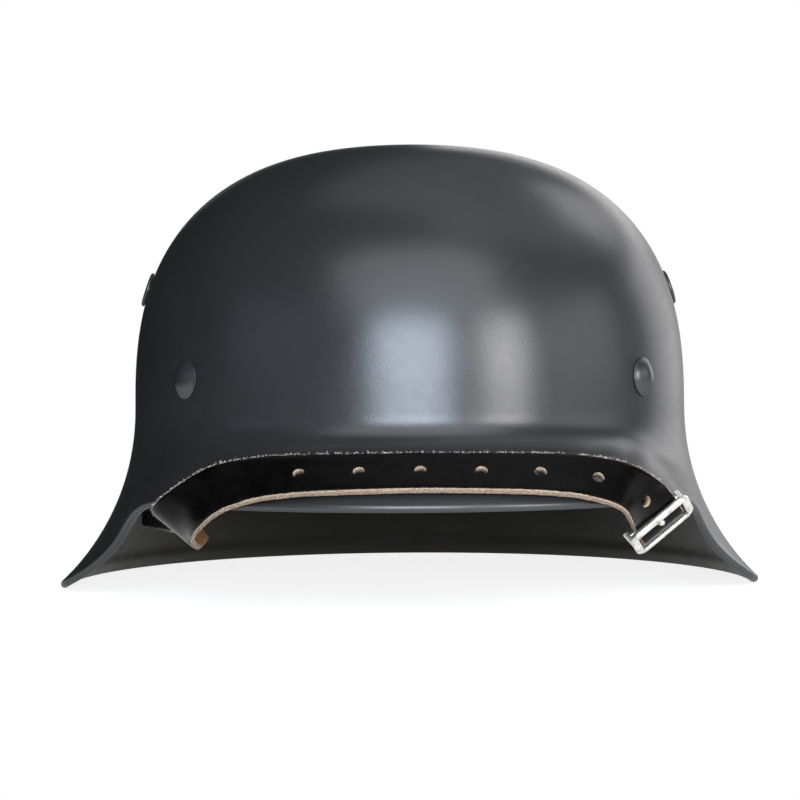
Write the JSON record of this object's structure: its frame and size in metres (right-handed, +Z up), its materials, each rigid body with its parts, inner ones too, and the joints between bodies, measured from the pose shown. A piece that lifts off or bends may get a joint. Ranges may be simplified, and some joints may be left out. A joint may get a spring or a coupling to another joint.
{
  "type": "steel helmet",
  "caption": "Pressed steel helmet with a hemmed rim, flared skirt and short visor, leather liner on sprung bands, and a leather chinstrap with a buckle worn over the visor.",
  "frame": {"origin": "middle of the helmet's outline from above, on the plane that the rim stands on", "axes": "+Z up, -Y to the front over the visor, +X to the side where the chinstrap's buckle lies"},
  "size_m": [0.241, 0.2829, 0.1504],
  "materials": {
    "shell_paint": "satin dark slate paint",
    "liner_steel": "dull zinc plate",
    "felt": "pressed felt",
    "liner_leather": "worn brown hide",
    "string": "waxed cord",
    "wire": "bent wire",
    "strap_leather": "black grained hide with pale cut edges",
    "stud": "dull",
    "buckle": "dull pale metal"
  },
  "bodies": {
    "helmet": {"shell": "shell_paint", "vent_bushing_left": "shell_paint", "vent_bushing_right": "shell_paint", "liner_pin_front_left": "shell_paint", "liner_pin_front_right": "shell_paint", "liner_pin_rear": "shell_paint", "pin_washers": "liner_steel", "liner_outer_band": "liner_steel", "liner_inner_band": "liner_steel", "band_spring_1": "liner_steel", "band_spring_2": "liner_steel", "band_spring_3": "liner_steel", "band_spring_4": "liner_steel", "band_spring_5": "liner_steel", "band_spring_6": "liner_steel", "spring_rivets": "liner_steel", "felt_ring": "felt", "leather_liner": "liner_leather", "leather_rivets": "liner_steel", "tie_string": "string", "bail_bracket_left": "liner_steel", "bail_bracket_right": "liner_steel", "bracket_rivets": "liner_steel", "chinstrap_long": "strap_leather", "chinstrap_short": "strap_leather", "strap_stud_left": "stud", "strap_stud_right": "stud"},
    "bail_left": {"bail_left": "wire"},
    "bail_right": {"bail_right": "wire"},
    "buckle_frame": {"buckle_frame": "buckle"},
    "buckle_prong": {"buckle_prong": "buckle"}
  },
  "joints": [
    {"name": "bail_left_swing", "type": "hinge", "parent": "helmet", "child": "bail_left", "pos_m": [-0.0877, 0.006, 0.0548], "axis": [0, 1, 0], "range_deg": [-15, 8], "deforming": ["chinstrap_long"]},
    {"name": "bail_right_swing", "type": "hinge", "parent": "helmet", "child": "bail_right", "pos_m": [0.0877, 0.006, 0.0548], "axis": [0, 1, 0], "range_deg": [-8, 15], "deforming": ["chinstrap_short"]},
    {"name": "buckle_tilt", "type": "hinge", "parent": "helmet", "child": "buckle_frame", "pos_m": [0.06973, -0.10602, 0.03065], "axis": [0.7759, 0.0384, 0.6297], "range_deg": [0, 4]},
    {"name": "prong_lift", "type": "hinge", "parent": "buckle_frame", "child": "buckle_prong", "pos_m": [0.06973, -0.10602, 0.03065], "axis": [0.7759, 0.0384, 0.6297], "range_deg": [0, 8]}
  ]
}
